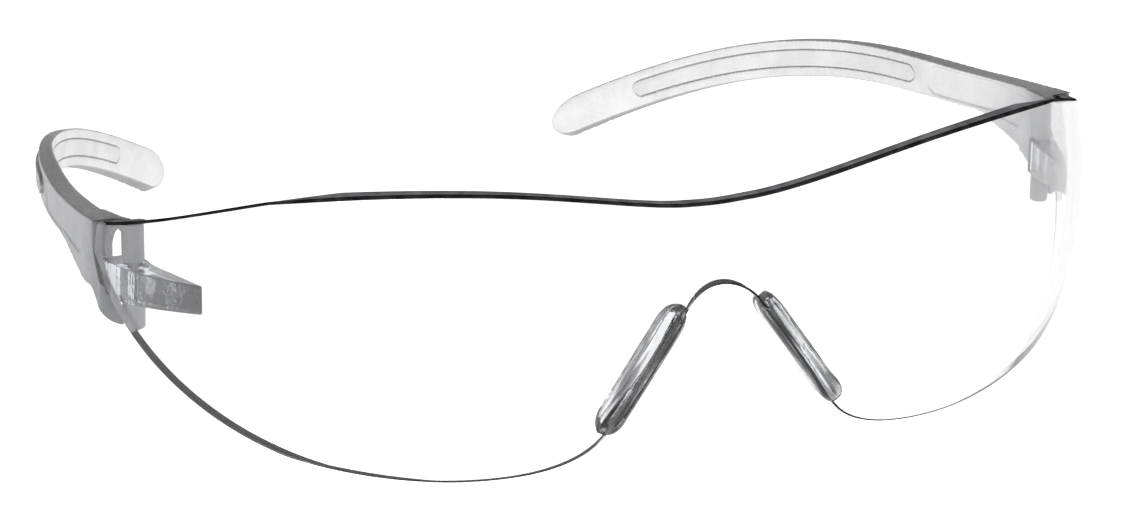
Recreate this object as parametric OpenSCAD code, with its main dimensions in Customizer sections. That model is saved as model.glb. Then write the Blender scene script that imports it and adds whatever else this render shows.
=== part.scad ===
// Frameless wrap-around safety glasses: one clear shield lens with two lobes, clear hinge
// lugs on its inner face, two folding temples with grip inlays, and two nose pads.
// The front faces -Y, the temples run back along +Y and +Z is up. The part stands on its
// two lens lobes and its two temple tips, and the origin is under the middle of its box.

/* [Lens] */
// Width of the lens across its two rear ends
lens_width = 141.6; // [130:0.2:160]
// How far the rear ends lie behind the front of the lens
lens_wrap = 42.5; // [39:0.5:45]
// Height from the bottom of the lobes to the top of the brow
lens_height = 39.2; // [36:0.2:44]
// Outer radius of each spherical lobe
lens_radius = 54.5; // [52:0.5:60]
// Thickness of the lens
lens_thickness = 2; // [1.6:0.1:2.4]
// Half width of the curved strip that joins the lobes
bridge_half = 4.5; // [3.5:0.5:6]
// How far the brow line dips at the bridge
brow_dip = 4.7; // [2:0.1:8]
// Distance of each brow peak from the middle
brow_peak_x = 36; // [30:1:42]
// How far the brow falls towards the rear end of the lens
brow_fall = 10.6; // [8:0.2:12]
// Distance of the lowest point of each lobe from the middle
lobe_low_x = 35; // [30:1:40]
// Height at which the rear end of the lens turns in towards the lobe
lens_end_z = 25; // [23:0.5:26]

/* [Nose] */
// Height of the top of the nose arch
nose_top = 23.7; // [20:0.1:27]
// Radius of the nose arch
nose_r = 6.2; // [5:0.1:8]
// Angle of each nose flank from the vertical
nose_angle = 34.7; // [28:0.1:40]
// Length of the straight flank
flank_length = 19; // [16:0.5:20]
// Length of a nose pad
pad_length = 19.5; // [14:0.5:21]
// Width of a nose pad across the lens edge
pad_width = 3.4; // [2.8:0.1:5]
// Depth of a nose pad from front to back
pad_depth = 5.6; // [4.5:0.1:7]

/* [Hinges] */
// Radius of a hinge pin
pin_r = 0.65; // [0.5:0.05:0.75]
// Radius of the temple's hinge knuckles
knuckle_r = 1.4; // [1.3:0.05:1.6]
// Height of the lug where the pin passes through it
lug_height = 4.6; // [3.6:0.1:5.6]
// Height of the lug at its front tip
lug_tip_height = 3.7; // [2.8:0.1:4.6]
// Length of the lug in front of the pin
lug_reach = 13.6; // [10:0.2:16]
// Radius of the lug round the pin, on its inner side
lug_eye_r = 1.9; // [1.6:0.1:2.2]
// Depth of the lug behind the pin
lug_tail = 3.3; // [2.6:0.1:3.4]
// Height of the hinge end of a temple
hinge_height = 14.1; // [13:0.1:16]

/* [Temples] */
// Overall depth of the glasses, from the lens front to the temple tips
overall_depth = 131.2; // [118:0.2:160]
// Thickness of a temple at the hinge
temple_root_t = 3.2; // [2.4:0.1:3.6]
// Thickness of a temple at its tip
temple_tip_t = 1.7; // [1.4:0.1:2.4]
// Height of a temple at its waist
temple_waist_h = 5.2; // [4.6:0.1:6]
// Height of a temple at its tip
temple_tip_h = 5.8; // [5:0.1:7]
// Radius of the gentle bend in the front of a temple
bend_front_r = 194; // [170:2:260]
// Length of the gentle bend
bend_front_length = 36.8; // [30:0.2:42]
// Angle at which a temple leaves the lens
temple_toe_in = 2.5; // [0:0.5:5]
// Angle at which a temple points inwards at its tip
temple_tip_in = 53; // [44:1:58]

/* [Inlays] */
// Length of a grip inlay, measured front to back
inlay_length = 43; // [34:1:48]
// Height of a grip inlay
inlay_h = 2.5; // [2:0.1:3.2]
// How far the inlay ends stay from the temple tip, measured front to back
inlay_setback = 10.4; // [8:0.2:16]
// How far an inlay stands proud of the outer face
inlay_proud = 0.45; // [0.2:0.05:0.8]

/* [Clearances] */
// Gap between parts that turn past each other
gap = 0.3; // [0.2:0.05:0.4]
// Radial clearance of the pin in the temple knuckles
pin_clearance = 0.05; // [0.02:0.01:0.08]
// Gap above and below the lug in its slot
slot_gap = 0.15; // [0.1:0.05:0.3]

/* [Hidden] */
$fn = 96;
steps = 18;
eps = 0.01;
far = 300;

// Lens: both lobes are turned about one axis along X, at axis_y and axis_z
inner_radius = lens_radius - lens_thickness;
mid_radius = lens_radius - lens_thickness / 2;
axis_y = lens_radius;
axis_z = lens_height - 18.2;
lobe_x = lens_width / 2 - sqrt(pow(lens_radius, 2) - pow(lens_radius - lens_wrap, 2));
seam_reach = lobe_x - bridge_half;
bridge_r = mid_radius * bridge_half / seam_reach;
bridge_y = (mid_radius + bridge_r) * sqrt(1 - pow(seam_reach / mid_radius, 2));
end_x = lens_width / 2 + 1;
crease = 0.03;

// Nose: the arch ends where the flank leaves it in line
flank_dir = [sin(nose_angle), -cos(nose_angle)];
flank_out = [cos(nose_angle), sin(nose_angle)];
flank_start = [0, nose_top - nose_r] + nose_r * flank_out;
flank_end = flank_start + flank_length * flank_dir;
pad_mid = flank_start + (pad_length / 2 - 0.3) * flank_dir;
pad_y = axis_y - sqrt(pow(mid_radius, 2) - pow(pad_mid[0] - lobe_x, 2)
                      - pow(pad_mid[1] - axis_z, 2));
pad_shift = 0.8;
pad_back_shift = 1.1;

// Hinge: the knuckles just clear the inner face of the lens at their top
hinge_z = lens_end_z - 3.8;
lug_bottom = hinge_z - lug_height / 2;
lug_top = hinge_z + lug_height / 2;
lug_tail_w = 2.9;
knuckle_top = lens_end_z + 3.9;
knuckle_bottom = knuckle_top - hinge_height;
clear_r = sqrt(pow(inner_radius, 2) - pow(knuckle_top - axis_z, 2)) - gap;
hinge_r = clear_r - knuckle_r;
hinge_y = lens_wrap - 2.95;
hinge_x = lobe_x + sqrt(pow(hinge_r, 2) - pow(axis_y - hinge_y, 2));
swing_r = norm([lug_tail_w, lug_tail]) + 0.2;
window_back = hinge_y + swing_r + 0.2;
window_wall = 1;
plate_t = 1.4;
pin_roof = 1;

// Temple plan: two arcs in line, given by the angle of travel from +Y towards the middle
root = [lens_width / 2, lens_wrap];
arc1 = root - bend_front_r * [cos(temple_toe_in), sin(temple_toe_in)];
mid_angle = temple_toe_in + bend_front_length / bend_front_r * 180 / PI;
mid_y = arc1[1] + bend_front_r * sin(mid_angle);
bend_rear_r = (overall_depth - mid_y) / (sin(temple_tip_in) - sin(mid_angle));
arc2 = arc1 + (bend_front_r - bend_rear_r) * [cos(mid_angle), sin(mid_angle)];
taper_rate = 2.6;

// Temple side view: a middle line from the waist to the round tip
tip_round = 1.8;
waist_y = lens_wrap + 19.4;
tail_y = overall_depth - tip_round;
waist_z = lens_end_z - 1.5;
inlay_back = overall_depth - inlay_setback;
inlay_front = inlay_back - inlay_length;

function mix(a, b, t) = a + (b - a) * t;
function bezier_at(a, b, c, d, t) = let (s = 1 - t)
    s * s * s * a + 3 * s * s * t * b + 3 * s * t * t * c + t * t * t * d;
function bezier(a, b, c, d) = [for (i = [0:steps]) bezier_at(a, b, c, d, i / steps)];
function backwards(points) = [for (i = [len(points) - 1:-1:0]) points[i]];
function mirrored(points) = [for (p = points) [-p[0], p[1]]];
function distinct(points) =
    [for (i = [0:len(points) - 1])
        if (norm(points[i] - points[(i + 1) % len(points)]) > eps) points[i]];

// Half of the lens outline in front view, from the middle of the brow to the nose arch.
// Towards its ends it runs wide of the lens, which the side view trims there.
brow = concat(
    bezier([0, lens_height - brow_dip], [8, lens_height - brow_dip],
           [brow_peak_x - 16, lens_height], [brow_peak_x, lens_height]),
    bezier([brow_peak_x, lens_height], [brow_peak_x + 12, lens_height],
           [end_x - 14, lens_height - 2], [end_x, lens_height - 7.7]));
lobe = concat(
    bezier([end_x, 12], [end_x - 6, 4.2], [lobe_low_x + 14, 0], [lobe_low_x, 0]),
    bezier([lobe_low_x, 0], [lobe_low_x - 10, 0], flank_end + 5 * flank_dir, flank_end));
arch = [for (i = [0:steps]) let (a = mix(nose_angle, 90, i / steps))
    [0, nose_top - nose_r] + nose_r * [cos(a), sin(a)]];
half_outline = concat(brow, lobe, arch);
outline = distinct(concat(half_outline, backwards(mirrored(half_outline))));

// Lens outline in side view: the fall of the brow, and the cut-back rear end
end_top = lens_height - brow_fall;
side_outline = distinct(concat(
    [[-1, -1], [-1, lens_height + 2]],
    bezier([9, lens_height + 1.3], [19, lens_height - 1.7],
           [lens_wrap - 12.5, end_top + 2.8], [lens_wrap, end_top]),
    bezier([lens_wrap, lens_end_z], [lens_wrap - 0.8, lens_end_z - 4.8],
           [lens_wrap - 14, 6.9], [16.5, 1.6]),
    [[6, -1]]));

// Temple plan point at a fraction f of its bend: side 0 is the outer face, 1 the inner face
function thickness(f) = mix(temple_root_t, temple_tip_t, max(0, min(1, f * taper_rate)));
function plan(f, side, proud = 0) =
    let (a = mix(temple_toe_in, temple_tip_in, f), front = a < mid_angle,
         r = (front ? bend_front_r : bend_rear_r) + (side == 0 ? proud : -thickness(f)))
    (front ? arc1 : arc2) + r * [cos(a), sin(a)];
plan_steps = [for (i = [-1:40]) i / 40];
function plan_outline(proud = 0) = concat(
    [for (f = plan_steps) plan(f, 0, proud)],
    backwards([for (f = plan_steps) plan(f, 1)]));

// Temple side view: height of the middle line, and the height of the temple about it
function along(y) = (y - waist_y) / (tail_y - waist_y);
function middle_z(y) =
    bezier_at(waist_z, waist_z - 3, waist_z - 1, temple_tip_h / 2, along(y));
function temple_h(y) = mix(temple_waist_h, temple_tip_h, max(0, along(y)));
function run(y0, y1) = [for (i = [0:2 * steps]) mix(y0, y1, i / (2 * steps))];
function round_end(y, z, h, out) =
    bezier([y, z + h / 2], [y + out * 4 / 3, z + h / 4], [y + out * 4 / 3, z - h / 4],
           [y, z - h / 2]);
temple_side = distinct(concat(
    [[hinge_y, knuckle_top], [lens_wrap - 1, knuckle_top]],
    [for (y = run(waist_y, tail_y)) [y, middle_z(y) + temple_h(y) / 2]],
    round_end(tail_y, temple_tip_h / 2, temple_tip_h, tip_round),
    [for (y = run(tail_y, waist_y)) [y, middle_z(y) - temple_h(y) / 2]],
    bezier([waist_y - 4, middle_z(waist_y) - temple_waist_h / 2],
           [hinge_y + 6, knuckle_bottom + 4.1],
           [hinge_y + 3.5, knuckle_bottom + 3], [hinge_y + 1.2, knuckle_bottom]),
    [[hinge_y, knuckle_bottom]]));
inlay_side = distinct(concat(
    [for (y = run(inlay_front, inlay_back)) [y, middle_z(y) + inlay_h / 2]],
    round_end(inlay_back, middle_z(inlay_back), inlay_h, inlay_h / 3),
    [for (y = run(inlay_back, inlay_front)) [y, middle_z(y) - inlay_h / 2]],
    backwards(round_end(inlay_front, middle_z(inlay_front), inlay_h, -inlay_h / 2))));

// Places a node for one side: s is 1 on the wearer's left and -1 on the wearer's right
module on_side(s) {
    translate([0, -overall_depth / 2, 0])
        mirror([s < 0 ? 1 : 0, 0, 0])
            children();
}

// Extrudes a front view outline of x and z along Y, from y0 to y1
module along_y(y0, y1) {
    translate([0, y1, 0])
        rotate([90, 0, 0])
            linear_extrude(height = y1 - y0)
                children();
}

// Extrudes a side view outline of y and z along X, from x0 to x1
module along_x(x0, x1) {
    translate([x0, 0, 0])
        rotate([90, 0, 90])
            linear_extrude(height = x1 - x0)
                children();
}

// Section through both lobes and the bridge: x is the radius and y runs along the axis.
// The fillet of the bridge meets each lobe in a faint crease.
module lobes_section(r, fillet_r) {
    reach = norm([bridge_y, lobe_x]);
    touch = [r * bridge_y / reach, lobe_x * (1 - r / reach)];
    for (s = [-1, 1])
        translate([0, s * lobe_x])
            circle(r = r, $fn = 360);
    difference() {
        polygon([[0, 0], [touch[0], -touch[1]], [bridge_y, 0], touch]);
        translate([bridge_y, 0])
            circle(r = fillet_r + crease, $fn = 360);
    }
}

// The whole double sphere wall that the lens is cut from
module lens_wall() {
    translate([0, axis_y, axis_z])
        rotate([0, 90, 0])
            rotate_extrude($fn = 360)
                difference() {
                    intersection() {
                        lobes_section(lens_radius, bridge_r - lens_thickness / 2);
                        translate([0, -far / 2])
                            square([far, far]);
                    }
                    lobes_section(inner_radius, bridge_r + lens_thickness / 2);
                }
}

module lens_cut_to_outline() {
    intersection() {
        lens_wall();
        along_y(-1, lens_wrap + 1)
            polygon(outline);
    }
}

// Side view of the lens, moved back by a margin
module lens_side(margin = 0) {
    translate([margin, 0])
        polygon(side_outline);
}

module lens() {
    color([0.93, 0.95, 0.97, 0.35])
        translate([0, -overall_depth / 2, 0])
            intersection() {
                lens_cut_to_outline();
                along_x(-lens_width, lens_width)
                    lens_side();
            }
}

module rounded_rect(w, h, r) {
    square([w - 2 * r, h], center = true);
    square([w, h - 2 * r], center = true);
    for (x = [-1, 1], y = [-1, 1])
        translate([x * (w / 2 - r), y * (h / 2 - r)])
            circle(r = r);
}

// A rounded bar that grips the flank of the nose cut-out
module nose_pad(s) {
    slot_length = pad_length + 2;
    color([0.75, 0.78, 0.82, 0.6])
        on_side(s)
            difference() {
                translate([pad_mid[0], pad_y + pad_back_shift, pad_mid[1]])
                    rotate([0, 180 - nose_angle, 0])
                        intersection() {
                            translate([-pad_shift, 0, -pad_length / 2])
                                linear_extrude(height = pad_length)
                                    rounded_rect(pad_width, pad_depth, pad_width * 0.42);
                            along_x(-pad_width * 2, pad_width * 2)
                                rounded_rect(pad_depth, pad_length, pad_depth * 0.4);
                        }
                intersection() {
                    lens_wall();
                    translate([pad_mid[0], pad_y, pad_mid[1]])
                        rotate([0, 180 - nose_angle, 0])
                            translate([-far, -pad_depth, -slot_length / 2])
                                cube([far, 2 * pad_depth, slot_length]);
                }
            }
}

// Plan of the lug; the inner face of the lens trims its outer side
module lug_plan() {
    tip_y = hinge_y - lug_reach;
    tip_x = lobe_x + sqrt(pow(inner_radius, 2) - pow(axis_y - tip_y, 2));
    polygon([
        [tip_x - 0.5, tip_y],
        [tip_x + 1, tip_y],
        [hinge_x + lug_tail_w, hinge_y - 2],
        [hinge_x + lug_tail_w, hinge_y + lug_tail],
        [hinge_x + 0.4, hinge_y + lug_tail],
        [hinge_x - lug_eye_r, hinge_y],
        [hinge_x - lug_eye_r, hinge_y - 1]]);
    translate([hinge_x, hinge_y])
        circle(r = lug_eye_r);
}

// Side view of the lug: level round the pin and a little lower at the tip
module lug_side() {
    level_y = hinge_y - 2.6;
    tip_y = hinge_y - lug_reach - 1;
    polygon([
        [tip_y, lug_top + 1.3 - (lug_height - lug_tip_height) / 2],
        [tip_y, lug_top + 1.3 - (lug_height - lug_tip_height) / 2 - lug_tip_height],
        [level_y, lug_bottom],
        [hinge_y + lug_tail + 1, lug_bottom],
        [hinge_y + lug_tail + 1, lug_top],
        [level_y, lug_top]]);
}

module hinge_lug(s) {
    color([0.7, 0.72, 0.76, 0.6])
        on_side(s)
            difference() {
                intersection() {
                    linear_extrude(height = lens_height)
                        lug_plan();
                    along_x(0, lens_width)
                        lug_side();
                    translate([lobe_x, axis_y, axis_z])
                        sphere(r = inner_radius, $fn = 360);
                }
                translate([hinge_x, hinge_y, 0])
                    cylinder(r = pin_r, h = lens_height);
            }
}

module hinge_pin(s) {
    color([0.6, 0.61, 0.63])
        on_side(s)
            translate([hinge_x, hinge_y, knuckle_bottom + gap])
                cylinder(r = pin_r, h = hinge_height - pin_roof - 2 * gap);
}

// The curved arm of the temple, behind the rounded end of the lens
module temple_arm() {
    difference() {
        intersection() {
            linear_extrude(height = lens_height)
                polygon(plan_outline());
            along_x(0, lens_width)
                polygon(temple_side);
        }
        along_x(0, lens_width)
            lens_side(gap);
        along_x(0, lens_width)
            polygon(inlay_side);
    }
}

// The thin plate behind the lens that carries the knuckles, and the block that joins it on
module temple_plate() {
    joint_y = lens_wrap + gap;
    block_end = joint_y + 6;
    inner_x = lens_width / 2 - temple_root_t;
    plate_x = lobe_x + sqrt(pow(clear_r - plate_t, 2) - pow(axis_y - joint_y, 2));
    intersection() {
        linear_extrude(height = lens_height) {
            difference() {
                translate([lobe_x, axis_y])
                    circle(r = clear_r);
                translate([lobe_x, axis_y])
                    circle(r = clear_r - plate_t);
                translate([lobe_x - far / 2, -far + hinge_y])
                    square([far, far]);
                translate([lobe_x - far / 2, joint_y + 1])
                    square([far, far]);
                translate([lobe_x - far, -far / 2])
                    square([far, far]);
            }
            polygon([[plate_x, joint_y], [inner_x + 0.6, joint_y],
                     [inner_x + 0.4, block_end], [inner_x - 0.6, block_end]]);
        }
        along_x(0, lens_width)
            polygon(temple_side);
    }
}

// Side view of the window between the knuckles and the arm
module window_side() {
    front = hinge_y - knuckle_r;
    w = window_back - front;
    h = hinge_height - 2 * window_wall;
    intersection() {
        translate([front + w / 2, knuckle_bottom + window_wall + h / 2])
            square([w, h], center = true);
        translate([front, hinge_z + 1])
            circle(r = w + 0.4);
    }
}

module temple(s) {
    skin_x = lens_width / 2 - temple_root_t;
    color([0.72, 0.73, 0.75, 0.8])
        on_side(s)
            difference() {
                union() {
                    temple_arm();
                    difference() {
                        temple_plate();
                        along_x(0, skin_x)
                            window_side();
                    }
                    translate([hinge_x, hinge_y, knuckle_bottom])
                        cylinder(r = knuckle_r, h = hinge_height);
                }
                translate([hinge_x, hinge_y, lug_bottom - slot_gap])
                    cylinder(r = swing_r, h = lug_height + 2 * slot_gap);
                translate([hinge_x, hinge_y, knuckle_bottom - 1])
                    cylinder(r = pin_r + pin_clearance, h = hinge_height - pin_roof + 1);
            }
}

module temple_inlay(s) {
    color([0.8, 0.8, 0.82, 0.8])
        on_side(s)
            intersection() {
                linear_extrude(height = lens_height)
                    polygon(plan_outline(inlay_proud));
                along_x(0, lens_width)
                    polygon(inlay_side);
            }
}

lens();
nose_pad(-1);  // right_nose_pad
nose_pad(1);  // left_nose_pad
hinge_lug(-1);  // right_hinge_lug
hinge_lug(1);  // left_hinge_lug
hinge_pin(-1);  // right_hinge_pin
hinge_pin(1);  // left_hinge_pin
temple(-1);  // right_temple
temple(1);  // left_temple
temple_inlay(-1);  // right_temple_inlay
temple_inlay(1);  // left_temple_inlay
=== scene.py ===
import math

import bmesh
import bpy
import numpy as np
from mathutils import Matrix, Vector


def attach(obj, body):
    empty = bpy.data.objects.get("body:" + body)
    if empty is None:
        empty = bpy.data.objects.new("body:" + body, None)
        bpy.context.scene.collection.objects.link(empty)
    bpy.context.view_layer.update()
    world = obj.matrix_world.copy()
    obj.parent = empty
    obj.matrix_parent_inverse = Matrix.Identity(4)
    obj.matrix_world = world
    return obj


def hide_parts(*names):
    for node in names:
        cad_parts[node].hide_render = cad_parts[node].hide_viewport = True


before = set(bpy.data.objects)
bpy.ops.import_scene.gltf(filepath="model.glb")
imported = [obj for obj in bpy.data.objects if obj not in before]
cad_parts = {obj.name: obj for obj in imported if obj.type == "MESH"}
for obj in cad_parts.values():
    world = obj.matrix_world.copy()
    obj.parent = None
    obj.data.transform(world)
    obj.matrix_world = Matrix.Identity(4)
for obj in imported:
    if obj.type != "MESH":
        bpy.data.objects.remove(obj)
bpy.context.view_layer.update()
scene = bpy.context.scene
MM = 0.001
SIDES = (("left", 1), ("right", -1))

# Sizes of the part in mm, the same values as in the part's source
LENS_W = 141.6  # width across the two rear ends
LENS_H = 39.2
LENS_WRAP = 42.5  # how far the rear ends lie behind the lens front
LENS_R = 54.5  # outer radius of a lobe
LENS_T = 2.0
BRIDGE_HALF = 4.5  # half width of the strip that joins the lobes
CREASE = 0.03  # how far the strip and the lobes cross at their seam
BROW_DIP = 4.7
BROW_FALL = 10.6  # how far the brow falls towards the rear ends
PEAK_X = 36.0  # brow peak from the middle
LOW_X = 35.0  # lowest point of a lobe from the middle
END_Z = 25.0  # height at which the rear end turns in
NOSE_TOP = 23.7
NOSE_R = 6.2
NOSE_A = math.radians(34.7)  # nose flank from the vertical
FLANK = 19.0
DEPTH = 131.2  # from the lens front to the temple tips
TIP_A = math.radians(53)  # how far the temple tips point inwards
HINGE_H = 14.1  # height of the hinge end of a temple
HINGE_TOP = 28.9

# Worked out from those: the lens is turned about an axis along X
AXIS_Y = LENS_R
AXIS_Z = LENS_H - 18.2
MID_R = LENS_R - LENS_T / 2
IN_R = LENS_R - LENS_T
LOBE_X = LENS_W / 2 - math.sqrt(LENS_R ** 2 - (LENS_R - LENS_WRAP) ** 2)
BRIDGE_R = MID_R * BRIDGE_HALF / (LOBE_X - BRIDGE_HALF)
BRIDGE_Y = (MID_R + BRIDGE_R) * math.sqrt(1 - ((LOBE_X - BRIDGE_HALF) / MID_R) ** 2)


# ---------------------------------------------------------------- camera
CAMERA_PLACE = (-0.2996, -0.71112, 0.2820)  # metres
CAMERA_TURN = (-23.18, 19.69, 0.331)  # azimuth, elevation and roll in degrees
SENSOR_W = 36.0
FOCAL_LENGTH = 190.6528


def make_camera():
    data = bpy.data.cameras.new("camera")
    data.sensor_fit = "HORIZONTAL"
    data.sensor_width = SENSOR_W
    data.lens = FOCAL_LENGTH
    data.clip_start = 0.05
    data.clip_end = 50.0
    cam = bpy.data.objects.new("camera", data)
    scene.collection.objects.link(cam)
    azimuth, elevation, roll = (math.radians(v) for v in CAMERA_TURN)
    back = Vector((math.sin(azimuth) * math.cos(elevation),
                   -math.cos(azimuth) * math.cos(elevation), math.sin(elevation)))
    right = (-back).cross(Vector((0, 0, 1))).normalized()
    up = right.cross(-back)
    right, up = (math.cos(roll) * right + math.sin(roll) * up,
                 -math.sin(roll) * right + math.cos(roll) * up)
    place = Matrix((right, up, back)).transposed().to_4x4()
    place.translation = Vector(CAMERA_PLACE)
    cam.matrix_world = place
    scene.camera = cam


make_camera()


# ---------------------------------------------------------------- stage
def set_ramp(ramp, first, last, *between):
    """Set a colour ramp from (position, colour) pairs."""
    for element, (position, colour) in zip(ramp.color_ramp.elements, (first, last)):
        element.position = position
        element.color = (*colour, 1)
    for position, colour in between:
        ramp.color_ramp.elements.new(position).color = (*colour, 1)


def make_floor():
    bm = bmesh.new()
    bmesh.ops.create_grid(bm, x_segments=2, y_segments=2, size=6.0)
    mesh = bpy.data.meshes.new("floor")
    bm.to_mesh(mesh)
    bm.free()
    floor = bpy.data.objects.new("floor", mesh)
    scene.collection.objects.link(floor)
    mat = bpy.data.materials.new("floor_paper")
    mat.use_nodes = True
    bsdf = mat.node_tree.nodes["Principled BSDF"]
    bsdf.inputs["Base Color"].default_value = (0.93, 0.93, 0.93, 1)
    bsdf.inputs["Roughness"].default_value = 0.9
    bsdf.inputs["Specular IOR Level"].default_value = 0.0
    bsdf.inputs["Emission Color"].default_value = (1, 1, 1, 1)
    bsdf.inputs["Emission Strength"].default_value = 0.88
    mesh.materials.append(mat)


def make_studio():
    """A white room that darkens overhead, so clear plastic shows dark edges."""
    world = bpy.data.worlds.new("studio")
    scene.world = world
    world.use_nodes = True
    nt = world.node_tree
    background = nt.nodes["Background"]
    tc = nt.nodes.new("ShaderNodeTexCoord")
    sep = nt.nodes.new("ShaderNodeSeparateXYZ")
    ramp = nt.nodes.new("ShaderNodeValToRGB")
    nt.links.new(tc.outputs["Generated"], sep.inputs[0])
    nt.links.new(sep.outputs["Z"], ramp.inputs[0])
    steps = [(height, (v, v, v * 1.01)) for height, v in ((0.26, 1.0), (0.42, 0.3), (0.6, 0.08))]
    set_ramp(ramp, (0.0, (1.0, 1.0, 1.0)), (1.0, (0.03, 0.03, 0.035)), *steps)
    nt.links.new(ramp.outputs["Color"], background.inputs["Color"])
    background.inputs["Strength"].default_value = 1.15
    scene.view_settings.view_transform = "Standard"


def soft_box(name, place, target, size, power):
    data = bpy.data.lights.new(name, "AREA")
    data.shape = "RECTANGLE"
    data.size, data.size_y = size
    data.energy = power
    obj = bpy.data.objects.new(name, data)
    scene.collection.objects.link(obj)
    aim = (Vector(target) - Vector(place)).to_track_quat("-Z", "Y")
    obj.matrix_world = Matrix.Translation(place) @ aim.to_matrix().to_4x4()


make_floor()
make_studio()
soft_box("key_box", (0.9, -1.1, 1.3), (0, 0, 0.02), (0.7, 0.35), 8.0)
soft_box("fill_box", (-0.9, -1.2, 0.35), (0, 0, 0.02), (0.8, 0.4), 5.0)


# ---------------------------------------------------------------- mesh helpers
def add_object(name, verts, faces):
    mesh = bpy.data.meshes.new(name)
    mesh.from_pydata(verts, [], faces)
    mesh.validate()
    mesh.shade_smooth()
    obj = bpy.data.objects.new(name, mesh)
    scene.collection.objects.link(obj)
    return obj


def applied(obj, name):
    """A new object that holds the mesh of obj after its modifiers."""
    dg = bpy.context.evaluated_depsgraph_get()
    dg.update()
    mesh = bpy.data.meshes.new_from_object(obj.evaluated_get(dg), depsgraph=dg)
    mesh.name = name
    out = bpy.data.objects.new(name, mesh)
    scene.collection.objects.link(out)
    bpy.data.objects.remove(obj)
    return out


def welded_copy(node, name):
    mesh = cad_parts[node].data.copy()
    bm = bmesh.new()
    bm.from_mesh(mesh)
    bmesh.ops.remove_doubles(bm, verts=bm.verts, dist=2e-6)
    bm.to_mesh(mesh)
    bm.free()
    mesh.materials.clear()
    obj = bpy.data.objects.new(name, mesh)
    scene.collection.objects.link(obj)
    return obj


def moulded(node, name, voxel, rounds):
    """A fine, evenly meshed copy of a CAD node with its edges rounded as moulded plastic has."""
    obj = welded_copy(node, name + "_raw")
    fine = obj.modifiers.new("fine", "REMESH")
    fine.mode = "VOXEL"
    fine.voxel_size = voxel * MM
    fine.adaptivity = 0.0
    soften = obj.modifiers.new("soften", "SMOOTH")
    soften.factor = 0.5
    soften.iterations = rounds
    out = applied(obj, name)
    out.data.shade_smooth()
    return out


def coords(mesh):
    a = np.empty(len(mesh.vertices) * 3)
    mesh.vertices.foreach_get("co", a)
    return a.reshape(-1, 3)


def normals(mesh):
    a = np.empty(len(mesh.vertices) * 3)
    mesh.vertex_normals.foreach_get("vector", a)
    return a.reshape(-1, 3)


def put_coords(mesh, a):
    mesh.vertices.foreach_set("co", np.ascontiguousarray(a).ravel())
    mesh.update()


def smoothstep(a, b, v):
    t = np.clip((v - a) / (b - a), 0, 1)
    return t * t * (3 - 2 * t)


def finish_piece(obj, body, mat, node):
    obj.data.materials.clear()
    obj.data.materials.append(mat)
    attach(obj, body)
    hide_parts(node)


# ---------------------------------------------------------------- node helpers
def new_material(name):
    mat = bpy.data.materials.new(name)
    mat.use_nodes = True
    return mat, mat.node_tree, mat.node_tree.nodes["Principled BSDF"]


def noise_node(nt, coord, scale, detail=3.0, stretch=(1, 1, 1)):
    mapping = nt.nodes.new("ShaderNodeMapping")
    mapping.inputs["Scale"].default_value = stretch
    nt.links.new(coord, mapping.inputs["Vector"])
    noise = nt.nodes.new("ShaderNodeTexNoise")
    noise.inputs["Scale"].default_value = scale
    noise.inputs["Detail"].default_value = detail
    nt.links.new(mapping.outputs["Vector"], noise.inputs["Vector"])
    return noise.outputs["Fac"]


def map_range(nt, value, *limits):
    """A smooth step from the first pair of limits to the second pair."""
    m = nt.nodes.new("ShaderNodeMapRange")
    m.interpolation_type = "SMOOTHSTEP"
    for key, v in zip(("From Min", "From Max", "To Min", "To Max"), limits):
        m.inputs[key].default_value = v
    nt.links.new(value, m.inputs["Value"])
    return m.outputs["Result"]


def math_node(nt, operation, *values):
    m = nt.nodes.new("ShaderNodeMath")
    m.operation = operation
    for socket, value in zip(m.inputs, values):
        nt.links.new(value, socket)
    return m.outputs[0]


def ramp_node(nt, value, first, last):
    ramp = nt.nodes.new("ShaderNodeValToRGB")
    set_ramp(ramp, first, last)
    nt.links.new(value, ramp.inputs[0])
    return ramp.outputs["Color"]


def mix_node(nt, a, b, factor=None):
    """Mix two colours by factor, or multiply them where there is no factor."""
    mix = nt.nodes.new("ShaderNodeMix")
    mix.data_type = "RGBA"
    if factor:
        nt.links.new(factor, mix.inputs["Factor"])
    else:
        mix.blend_type = "MULTIPLY"
        mix.inputs["Factor"].default_value = 1.0
    nt.links.new(a, mix.inputs["A"])
    nt.links.new(b, mix.inputs["B"])
    return mix.outputs["Result"]


def dot_node(nt, vector, direction):
    n = nt.nodes.new("ShaderNodeVectorMath")
    n.operation = "DOT_PRODUCT"
    n.inputs[1].default_value = direction
    nt.links.new(vector, n.inputs[0])
    return n.outputs["Value"]


def bump(nt, bsdf, height, strength, distance):
    b = nt.nodes.new("ShaderNodeBump")
    b.inputs["Strength"].default_value = strength
    b.inputs["Distance"].default_value = distance
    nt.links.new(height, b.inputs["Height"])
    nt.links.new(b.outputs["Normal"], bsdf.inputs["Normal"])


# ---------------------------------------------------------------- materials
POLYCARBONATE_IOR = 1.585
VINYL_IOR = 1.5


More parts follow.
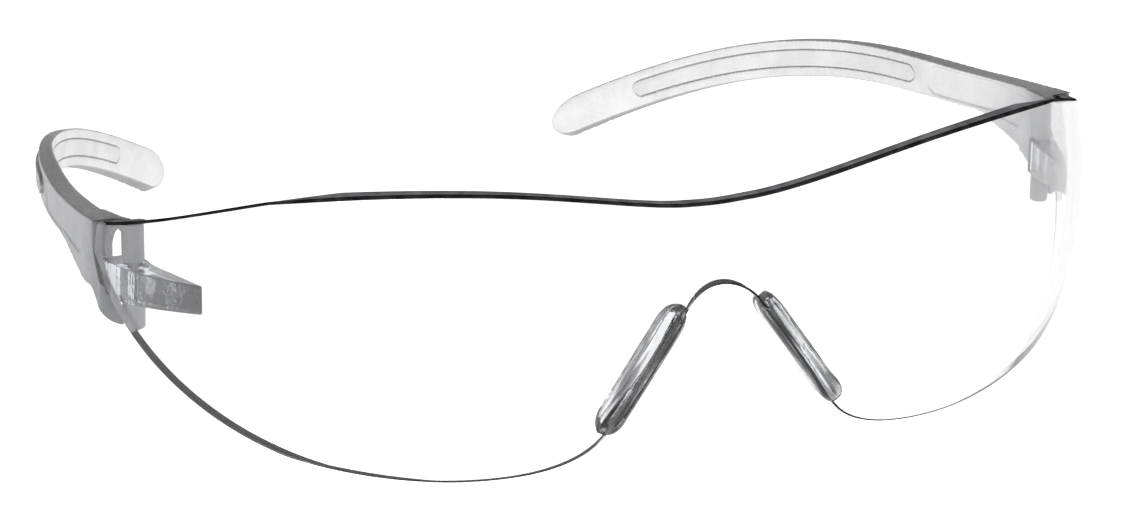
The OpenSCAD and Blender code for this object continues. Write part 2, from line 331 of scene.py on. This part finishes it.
def clear_material(name, tint, ior, rough, ripple, ripple_scale, stretch=(1, 1, 1), density=0.0):
    """Clear plastic with a faint moulding ripple and a little uneven polish."""
    mat, nt, bsdf = new_material(name)
    tc = nt.nodes.new("ShaderNodeTexCoord")
    bsdf.inputs["Base Color"].default_value = (*tint, 1)
    bsdf.inputs["IOR"].default_value = ior
    bsdf.inputs["Transmission Weight"].default_value = 1.0
    n = noise_node(nt, tc.outputs["Object"], ripple_scale, 2.0, stretch)
    polish = map_range(nt, n, 0.35, 0.75, rough, rough * 2.2 + 0.004)
    nt.links.new(polish, bsdf.inputs["Roughness"])
    if ripple:
        bump(nt, bsdf, n, 0.6, ripple)
    if density:
        volume = nt.nodes.new("ShaderNodeVolumeAbsorption")
        volume.inputs["Color"].default_value = (0.1, 0.11, 0.14, 1)
        volume.inputs["Density"].default_value = density
        nt.links.new(volume.outputs[0], nt.nodes["Material Output"].inputs["Volume"])
    return mat


def pad_material(name):
    """Glossy clear vinyl with painted refraction, lengthwise dark and light bands painted into its
    colour, and a clouded upper end.
    """
    mat = clear_material(name, (0.9, 0.92, 0.95), VINYL_IOR, 0.004, 0.00012, 700, (1, 1, 0.3), 40.0)
    nt = mat.node_tree
    tc = nt.nodes.new("ShaderNodeTexCoord")
    one_side = nt.nodes.new("ShaderNodeVectorMath")
    one_side.operation = "ABSOLUTE"
    nt.links.new(tc.outputs["Object"], one_side.inputs[0])
    across = dot_node(nt, one_side.outputs[0], (math.cos(NOSE_A), 0.0, math.sin(NOSE_A)))
    along = dot_node(nt, one_side.outputs[0], (math.sin(NOSE_A), 0.0, -math.cos(NOSE_A)))
    depth = dot_node(nt, one_side.outputs[0], (0.0, 1.0, 0.0))
    lay = nt.nodes.new("ShaderNodeCombineXYZ")
    for k, v in enumerate((across, depth, along)):
        nt.links.new(v, lay.inputs[k])
    # painted refraction: dark and light lengthwise bands painted into the colour stand in for dark
    # surroundings seen through the vinyl
    painted_refraction_noise = noise_node(nt, lay.outputs[0], 1500, 2.0, (1.0, 0.45, 0.05))
    painted_refraction_bands = ramp_node(nt, painted_refraction_noise, (0.40, (0.05, 0.05, 0.055)), (0.56, (0.97, 0.975, 0.98)))
    cloud = noise_node(nt, tc.outputs["Object"], 1600, 4.0)
    clouded = ramp_node(nt, cloud, (0.35, (0.2, 0.22, 0.3)), (0.7, (0.62, 0.66, 0.8)))
    upper_end = map_range(nt, along, -0.0158, -0.0132, 1.0, 0.0)
    colour = mix_node(nt, painted_refraction_bands, clouded, upper_end)
    nt.links.new(colour, nt.nodes["Principled BSDF"].inputs["Base Color"])
    return mat


def rim_material(name, dark, light):
    """The milled rim of the lens in opaque grey with no gloss: painted shade that reads as the dark
    line of the clear rim, and at the rear ends a satin grey.
    """
    mat, nt, bsdf = new_material(name)
    tc = nt.nodes.new("ShaderNodeTexCoord")
    n = noise_node(nt, tc.outputs["Object"], 420, 3.0)
    colour = ramp_node(nt, n, (0.35, dark), (0.75, light))
    nt.links.new(colour, bsdf.inputs["Base Color"])
    bsdf.inputs["Roughness"].default_value = 0.35
    bsdf.inputs["Specular IOR Level"].default_value = 0.0
    return mat


def frost_material(name, outer, inner, rough=0.42, top_bottom_painted_shade=0.5):
    """Frosted plastic: a matt grained outer face and a smoother inner face, with painted light and
    shade, the inner face painted brighter than the outer one.
    """
    mat, nt, bsdf = new_material(name)
    tc = nt.nodes.new("ShaderNodeTexCoord")
    facing_way = nt.nodes.new("ShaderNodeSeparateXYZ")
    place = nt.nodes.new("ShaderNodeSeparateXYZ")
    nt.links.new(tc.outputs["Normal"], facing_way.inputs[0])
    nt.links.new(tc.outputs["Object"], place.inputs[0])
    grain = noise_node(nt, tc.outputs["Object"], 2600, 4.0)
    cloud = noise_node(nt, tc.outputs["Object"], 260, 3.0)

    # painted light: faces that look towards the other temple are painted brighter, from the hinge
    # backwards, and a little brighter again to the rear
    sign = math_node(nt, "SIGN", place.outputs["X"])
    outwards = math_node(nt, "MULTIPLY", facing_way.outputs["X"], sign)
    painted_light_inner_faces = map_range(nt, outwards, -0.45, 0.1, 1.0, 0.0)
    painted_light_behind_hinge = map_range(nt, place.outputs["Y"], -0.023, -0.004, 0.12, 0.95)
    rear = map_range(nt, place.outputs["Y"], -0.024, 0.05, 0.0, 1.0)
    painted_light_to_rear = map_range(nt, rear, 0.0, 1.0, 0.0, 0.12)
    shade = math_node(nt, "MULTIPLY_ADD", painted_light_inner_faces, painted_light_behind_hinge, painted_light_to_rear)
    base = ramp_node(nt, shade, (0.0, outer), (1.0, inner))

    # cloudy mottling, with painted shade that darkens it in front of the hinge
    mottle = math_node(nt, "MULTIPLY", map_range(nt, grain, 0.3, 0.7, 0.95, 1.02),
                       map_range(nt, cloud, 0.3, 0.7, 0.93, 1.04))
    painted_shade_hinge_end = map_range(nt, place.outputs["Y"], -0.0235, -0.017, 0.66, 1.0)
    mottle_and_painted_shade = mix_node(nt, base, math_node(nt, "MULTIPLY", painted_shade_hinge_end, mottle))

    # painted shade: the rounded long edges and the top and bottom faces are painted a little darker
    # than the sides
    upright = math_node(nt, "ABSOLUTE", facing_way.outputs["Z"])
    colour = mix_node(nt, mottle_and_painted_shade, map_range(nt, upright, 0.12, 0.55, 1.0, top_bottom_painted_shade))
    nt.links.new(colour, bsdf.inputs["Base Color"])
    polish = map_range(nt, grain, 0.3, 0.7, rough - 0.08, rough + 0.12)
    nt.links.new(polish, bsdf.inputs["Roughness"])
    bsdf.inputs["IOR"].default_value = 1.58
    bsdf.inputs["Transmission Weight"].default_value = 0.3
    bump(nt, bsdf, grain, 0.35, 0.00006)
    return mat


lens_mat = clear_material("clear_lens", (1.0, 1.0, 1.0), POLYCARBONATE_IOR, 0.0, 0, 40, density=62.0)
pad_mat = pad_material("clear_vinyl")
lug_mat = clear_material("clear_lug", (0.9, 0.92, 0.97), POLYCARBONATE_IOR, 0.008, 0.0001, 900,
                         density=90.0)
# painted reflection: the rim's upper face in lighter grey; painted shade: the other rim faces in
# near black, for the dark line of the clear rim
rim_top_painted_reflection_mat = rim_material("lens_rim_top_painted_reflection", (0.2, 0.2, 0.21), (0.4, 0.4, 0.41))
rim_painted_shade_mat = rim_material("lens_rim_painted_shade", (0.012, 0.012, 0.013), (0.05, 0.05, 0.052))
end_mat = rim_material("lens_end", (0.26, 0.26, 0.28), (0.4, 0.4, 0.42))
seam_mat = clear_material("lens_seam", (0.8, 0.8, 0.81), POLYCARBONATE_IOR, 0.3, 0, 1500)
# painted light and shade: the first colour is the shaded tone of the outer faces and the second the
# lit tone of the inner faces
frost_mat = frost_material("frosted_plastic", (0.44, 0.445, 0.46), (0.97, 0.97, 0.975))
inlay_mat = frost_material("soft_inlay", (0.5, 0.5, 0.515), (0.95, 0.95, 0.955), 0.5, 0.7)
pin_mat = frost_material("pin_plastic", (0.42, 0.42, 0.44), (0.42, 0.42, 0.44), 0.3)


# ---------------------------------------------------------------- lens
RIM = 0.4  # reach of the rounding of the lens rim
ROWS = 44  # points up each face of one section
SEAM_BAND = 0.12  # half width of the seam beside the bridge strip
SATIN_BACK = 36.0  # the satin rear ends start this far behind the lens front
SATIN_TOP = LENS_H - BROW_FALL + 0.1
SEAM_X = LOBE_X * (1 - LENS_R / math.hypot(BRIDGE_Y, LOBE_X))
# slots of the lens materials; the two rim slots hold painted reflection and painted shade
CLEAR, RIM_TOP_PAINTED_REFLECTION, SEAM, END, RIM_PAINTED_SHADE = range(5)


def bezier(points, count=24):
    p = np.array(points, float)
    t = np.linspace(0, 1, count)[:, None]
    s = 1 - t
    return s ** 3 * p[0] + 3 * s * s * t * p[1] + 3 * s * t * t * p[2] + t ** 3 * p[3]


def front_view_limits():
    """The brow and the lower outline, as heights over the distance from the middle."""
    end_x = LENS_W / 2 + 1
    dip_z = LENS_H - BROW_DIP
    brow = np.vstack([
        bezier([[0, dip_z], [8, dip_z], [PEAK_X - 16, LENS_H], [PEAK_X, LENS_H]]),
        bezier([[PEAK_X, LENS_H], [PEAK_X + 12, LENS_H],
                [end_x - 14, LENS_H - 2], [end_x, LENS_H - 7.7]])])
    flank_way = np.array([math.sin(NOSE_A), -math.cos(NOSE_A)])
    flank_out = np.array([math.cos(NOSE_A), math.sin(NOSE_A)])
    start = np.array([0, NOSE_TOP - NOSE_R]) + NOSE_R * flank_out
    end = start + FLANK * flank_way
    arch = np.array([[NOSE_R * math.cos(a), NOSE_TOP - NOSE_R + NOSE_R * math.sin(a)]
                     for a in np.linspace(math.pi / 2, NOSE_A, 24)])
    low = np.vstack([
        arch, bezier([end, end + 5 * flank_way, [LOW_X - 10, 0], [LOW_X, 0]]),
        bezier([[LOW_X, 0], [LOW_X + 14, 0], [end_x - 6, 4.2], [end_x, 12]])])
    return brow, low


def side_view_limits():
    """The top and the bottom outline, as heights over the distance behind the lens front."""
    end_top = LENS_H - BROW_FALL
    top = np.vstack([
        [[-1, LENS_H + 2]],
        bezier([[9, LENS_H + 1.3], [19, LENS_H - 1.7],
                [LENS_WRAP - 12.5, end_top + 2.8], [LENS_WRAP, end_top]])])
    bottom = np.vstack([
        [[-1, -1], [6, -1]],
        bezier([[16.5, 1.6], [LENS_WRAP - 14, 6.9],
                [LENS_WRAP - 0.8, END_Z - 4.8], [LENS_WRAP, END_Z]], 40)])
    return top, bottom


def lens_rho(x, r_lobe, r_fillet):
    """Distance of the lens surface from its axis, at x."""
    if abs(x) < LOBE_X * (1 - r_lobe / math.hypot(BRIDGE_Y, LOBE_X)):
        return BRIDGE_Y - math.sqrt(max(r_fillet ** 2 - x * x, 0))
    return math.sqrt(max(r_lobe ** 2 - (abs(x) - LOBE_X) ** 2, 0))


def lens_span(x, r_lobe, r_fillet, limits):
    """The angles about the axis at which the outline cuts the lens surface, at x."""
    brow, low, top, bottom = limits
    rho = lens_rho(x, r_lobe, r_fillet)
    th = np.linspace(-0.62, 0.75, 2741)
    y = AXIS_Y - rho * np.cos(th)
    z = AXIS_Z + rho * np.sin(th)
    over = np.minimum(np.interp(abs(x), brow[:, 0], brow[:, 1]) - z,
                      np.interp(y, top[:, 0], top[:, 1]) - z)
    over = np.minimum(over, LENS_WRAP - y)
    under = np.minimum(z - np.interp(abs(x), low[:, 0], low[:, 1]),
                       z - np.interp(y, bottom[:, 0], bottom[:, 1]))
    inside = np.where((over >= 0) & (under >= 0))[0]
    if len(inside) < 2:
        k = int(np.argmax(np.minimum(over, under)))
        return rho, th[k], th[k]
    i, j = inside[0], inside[-1]
    lowest, highest = th[i], th[j]
    if i > 0 and under[i - 1] < 0:
        lowest = th[i] - (th[i] - th[i - 1]) * under[i] / (under[i] - under[i - 1])
    if j < len(th) - 1 and over[j + 1] < 0:
        highest = th[j] + (th[j + 1] - th[j]) * over[j] / (over[j] - over[j + 1])
    return rho, lowest, highest


def on_lens(x, rho, angle):
    return np.array([x, AXIS_Y - rho * math.cos(angle) - DEPTH / 2, AXIS_Z + rho * math.sin(angle)])


def rim_profile(a, corner_a, corner_b, b):
    """Rounded rim from point a on one face to point b on the other, round two corners."""
    across = corner_b - corner_a
    cut = min(RIM / max(np.linalg.norm(across), 1e-9), 0.4)
    pa = corner_a + across * cut
    pb = corner_b - across * cut
    return [0.35 * (a + pa) + 0.3 * corner_a, pa, pb, 0.35 * (b + pb) + 0.3 * corner_b]


def lens_ring(x, xi, limits):
    """Points round one upright section: outer face up, top rim, inner face down, lower rim."""
    ro, lo, hi = lens_span(x, LENS_R, BRIDGE_R - LENS_T / 2 + CREASE, limits)
    ri, li, ui = lens_span(xi, IN_R, BRIDGE_R + LENS_T / 2 + CREASE, limits)
    outer_cut = min(RIM / ro, (hi - lo) * 0.3)
    inner_cut = min(RIM / ri, (ui - li) * 0.3)
    outer = [on_lens(x, ro, t) for t in np.linspace(lo + outer_cut, hi - outer_cut, ROWS)]
    inner = [on_lens(xi, ri, t) for t in np.linspace(ui - inner_cut, li + inner_cut, ROWS)]
    top = rim_profile(outer[-1], on_lens(x, ro, hi), on_lens(xi, ri, ui), inner[0])
    low = rim_profile(inner[-1], on_lens(xi, ri, li), on_lens(x, ro, lo), outer[0])
    return np.array(outer + top + inner + low)


def true_lens_normals(mesh):
    """Exact surface normals on the two large faces, so they stay optically smooth at the rim."""
    v = coords(mesh) / MM
    count = len(mesh.polygons)
    face_normals = np.empty(count * 3)
    mesh.polygons.foreach_get("normal", face_normals)
    face_normals = face_normals.reshape(-1, 3)
    start = np.empty(count, int)
    total = np.empty(count, int)
    mesh.polygons.foreach_get("loop_start", start)
    mesh.polygons.foreach_get("loop_total", total)
    loop_v = np.empty(len(mesh.loops), int)
    mesh.loops.foreach_get("vertex_index", loop_v)
    dx = v[:, 0] - np.sign(v[:, 0]) * LOBE_X
    dy = v[:, 1] - (AXIS_Y - DEPTH / 2)
    dz = v[:, 2] - AXIS_Z
    rho = np.hypot(dy, dz)
    lobe = np.stack([dx, dy, dz], 1)
    bridge = np.stack([-v[:, 0], (BRIDGE_Y - rho) * dy / rho, (BRIDGE_Y - rho) * dz / rho], 1)
    true = np.where((np.abs(v[:, 0]) < SEAM_X)[:, None], bridge, lobe)
    true /= np.linalg.norm(true, axis=1)[:, None]
    out = normals(mesh)[loop_v]
    for k in range(count):
        loops = slice(start[k], start[k] + total[k])
        t = true[loop_v[loops]]
        dot = float(t.mean(0) @ face_normals[k])
        if abs(dot) > 0.985:
            out[loops] = t if dot > 0 else -t
    mesh.shade_smooth()
    mesh.normals_split_custom_set([tuple(n) for n in out])


def lens_columns():
    """Where the upright sections stand, from the right end to the left, closer at the ends."""
    end_psi = math.acos(math.hypot(LENS_R - LENS_WRAP, END_Z - AXIS_Z) / LENS_R)
    first_psi = math.asin((8.4 - LOBE_X) / LENS_R)
    psis = np.concatenate([np.linspace(first_psi, end_psi - 0.12, 88),
                           np.linspace(end_psi - 0.115, end_psi - 0.0008, 26)])
    xs = np.concatenate([np.arange(0, 8.2, 0.41), LOBE_X + LENS_R * np.sin(psis),
                         [SEAM_X - SEAM_BAND, SEAM_X, SEAM_X + SEAM_BAND]])
    xs = np.unique(np.round(xs, 5))
    return np.concatenate([-xs[::-1][:-1], xs])


def lens_slot(x, row, point):
    """Which of the lens materials the face at a row of a section takes."""
    on_outer = row < ROWS
    on_face = row < ROWS - 1 or ROWS + 3 < row < 2 * ROWS + 3
    if on_face:
        return SEAM if on_outer and abs(abs(x) - SEAM_X) < 0.1 else CLEAR
    # the rear ends are satin where they sit against the temples
    if point[1] + DEPTH / 2 > SATIN_BACK and point[2] < SATIN_TOP:
        return END
    if row == 2 * ROWS + 5:
        return CLEAR
    # painted shade on the rim: its upper face takes the painted reflection grey and the other rim
    # faces the near black painted shade
    return RIM_TOP_PAINTED_REFLECTION if row == ROWS + 1 else RIM_PAINTED_SHADE


def make_lens():
    limits = (*front_view_limits(), *side_view_limits())
    xs = lens_columns()
    end_rho = math.hypot(LENS_R - LENS_WRAP, END_Z - AXIS_Z)
    out_end = LOBE_X + LENS_R * math.sin(math.acos(end_rho / LENS_R))
    in_end = LOBE_X + IN_R * math.sin(math.acos(end_rho / IN_R))
    rings = []
    for x in xs:
        # the inner face ends a little nearer the middle, so its columns close up to the ends
        k = smoothstep(30.0, 70.0, abs(x))
        rings.append(lens_ring(x, x * (1 - k * (1 - in_end / out_end)), limits))
    n = len(rings[0])
    faces = []
    slots = []
    for c in range(len(rings) - 1):
        middle = (xs[c] + xs[c + 1]) / 2
        for r in range(n):
            q = (r + 1) % n
            faces.append((c * n + r, (c + 1) * n + r, (c + 1) * n + q, c * n + q))
            slots.append(lens_slot(middle, r, rings[c][r]))
    faces.append(tuple(range(n)))
    faces.append(tuple(range((len(rings) - 1) * n, len(rings) * n))[::-1])
    slots += [END, END]
    obj = add_object("lens_shield", [tuple(v) for v in np.concatenate(rings) * MM], faces)
    for mat in (lens_mat, rim_top_painted_reflection_mat, seam_mat, end_mat, rim_painted_shade_mat):
        obj.data.materials.append(mat)
    obj.data.polygons.foreach_set("material_index", slots)
    bm = bmesh.new()
    bm.from_mesh(obj.data)
    bmesh.ops.remove_doubles(bm, verts=bm.verts, dist=1e-6)
    bmesh.ops.recalc_face_normals(bm, faces=bm.faces)
    bm.to_mesh(obj.data)
    bm.free()
    true_lens_normals(obj.data)
    obj.visible_shadow = False
    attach(obj, "front")
    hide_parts("lens")


make_lens()


# ---------------------------------------------------------------- nose pads
PAD_END_ROUND = 3.0  # length of the rounding at each end of a pad
PAD_SLIM = 0.93


def make_pads():
    for side, s in SIDES:
        pad = moulded(side + "_nose_pad", side + "_pad_soft", 0.13, 45)
        v = coords(pad.data)
        flank_way = np.array([s * math.sin(NOSE_A), 0, -math.cos(NOSE_A)])
        flank_out = np.array([s * math.cos(NOSE_A), 0, math.sin(NOSE_A)])
        along = v @ flank_way
        mid = (v.max(0) + v.min(0)) / 2
        to_end = np.minimum(along - along.min(), along.max() - along) / MM
        k = np.clip(to_end / PAD_END_ROUND, 0, 1)
        taper = (np.sqrt(1 - (1 - k) ** 2) * 0.9 + 0.1) * PAD_SLIM
        out = (v - mid) @ flank_out
        v -= flank_out[None, :] * (out * (1 - taper))[:, None]
        v[:, 1] = mid[1] + (v[:, 1] - mid[1]) * taper
        put_coords(pad.data, v)
        pad.visible_shadow = False
        finish_piece(pad, "front", pad_mat, side + "_nose_pad")


# ---------------------------------------------------------------- hinge lugs and pins
RIDGE_PITCH = 0.55
RIDGE_DEPTH = 0.11


def make_lugs():
    for side, _ in SIDES:
        lug = moulded(side + "_hinge_lug", side + "_lug_clear", 0.1, 4)
        v = coords(lug.data)
        n = normals(lug.data)
        y = v[:, 1] / MM
        # fine upright ridges over the tail of the lug, on its sides only
        band = smoothstep(-26.4, -26.0, y) * (1 - smoothstep(-23.6, -23.2, y))
        on_side = smoothstep(0.5, 0.8, np.abs(n[:, 0]))
        wave = 0.5 - 0.5 * np.cos(2 * math.pi * y / RIDGE_PITCH)
        v -= n * (band * on_side * wave * RIDGE_DEPTH * MM)[:, None]
        put_coords(lug.data, v)
        lug.visible_shadow = False
        finish_piece(lug, "front", lug_mat, side + "_hinge_lug")


def make_pins():
    for side, _ in SIDES:
        pin = moulded(side + "_hinge_pin", side + "_pin_round", 0.07, 5)
        finish_piece(pin, "front", pin_mat, side + "_hinge_pin")


make_pads()
make_lugs()
make_pins()


# ---------------------------------------------------------------- temples
PANEL_FRONT = -17.5
PANEL_REAR = 8.0
PANEL_HALF = 2.1
PANEL_DEPTH = 0.14
CORNER_X = 66.2  # the front lower corner rises outside this
CORNER_REACH = 5.0
CORNER_RISE = 4.2
TIP_ROUND = 4.0  # length of the round nose at the tip


def stadium(y, z, y0, y1, half):
    """Signed distance to a round-ended slot from y0 to y1, of half height half."""
    dy = np.maximum(np.maximum(y0 + half - y, y - (y1 - half)), 0)
    return np.hypot(dy, z) - half


def temple_mid(y):
    """Height of the temple's middle line at y (mm, row frame)."""
    waist_y = LENS_WRAP + 19.4
    waist_z = END_Z - 1.5
    tail_y = DEPTH - 1.8
    tail_z = 2.9
    t = (y + DEPTH / 2 - waist_y) / (tail_y - waist_y)
    s = 1 - t
    return (s ** 3 * waist_z + 3 * s * s * t * (waist_z - 3)
            + 3 * s * t * t * (waist_z - 1) + t ** 3 * tail_z)


def round_corner(x, y, z):
    """Heights with the front lower corner turned in to the barrel in a round sweep."""
    t = np.clip((np.abs(x) - CORNER_X) / CORNER_REACH, 0, 0.98)
    rise = (1 - np.sqrt(1 - t * t)) * CORNER_RISE * (1 - smoothstep(-22.5, -17.0, y))
    raised = HINGE_TOP - (HINGE_TOP - z) * (HINGE_H - rise) / HINGE_H
    return np.where(z < HINGE_TOP, raised, z)


def round_nose(x, y, s):
    """Share of its height that the temple keeps, which falls to a round nose at the tip."""
    tip = y * math.cos(TIP_A) - s * x * math.sin(TIP_A)
    near_tip = np.clip((tip.max() - tip) / TIP_ROUND, 0.0, 1.0)
    return (1 - (1 - near_tip) ** 2.0) ** 0.5 * 0.96 + 0.04


def make_temples():
    for side, s in SIDES:
        temple = moulded(side + "_temple", side + "_temple_frosted", 0.17, 4)
        v = coords(temple.data)
        n = normals(temple.data)
        x, y, z = (v / MM).T
        panel = stadium(y, z - temple_mid(np.maximum(y, -8)), PANEL_FRONT, PANEL_REAR, PANEL_HALF)
        mid = temple_mid(y)
        v[:, 2] = (mid + (round_corner(x, y, z) - mid) * round_nose(x, y, s)) * MM
        # a shallow round-ended panel near the front of the inner and the outer face
        recess = smoothstep(0.18, -0.18, panel) * smoothstep(0.75, 0.9, np.abs(n[:, 0]))
        v -= n * (recess * PANEL_DEPTH * MM)[:, None]
        put_coords(temple.data, v)
        finish_piece(temple, side + "_arm", frost_mat, side + "_temple")
        inlay = moulded(side + "_temple_inlay", side + "_inlay_soft", 0.12, 3)
        finish_piece(inlay, side + "_arm", inlay_mat, side + "_temple_inlay")


make_temples()
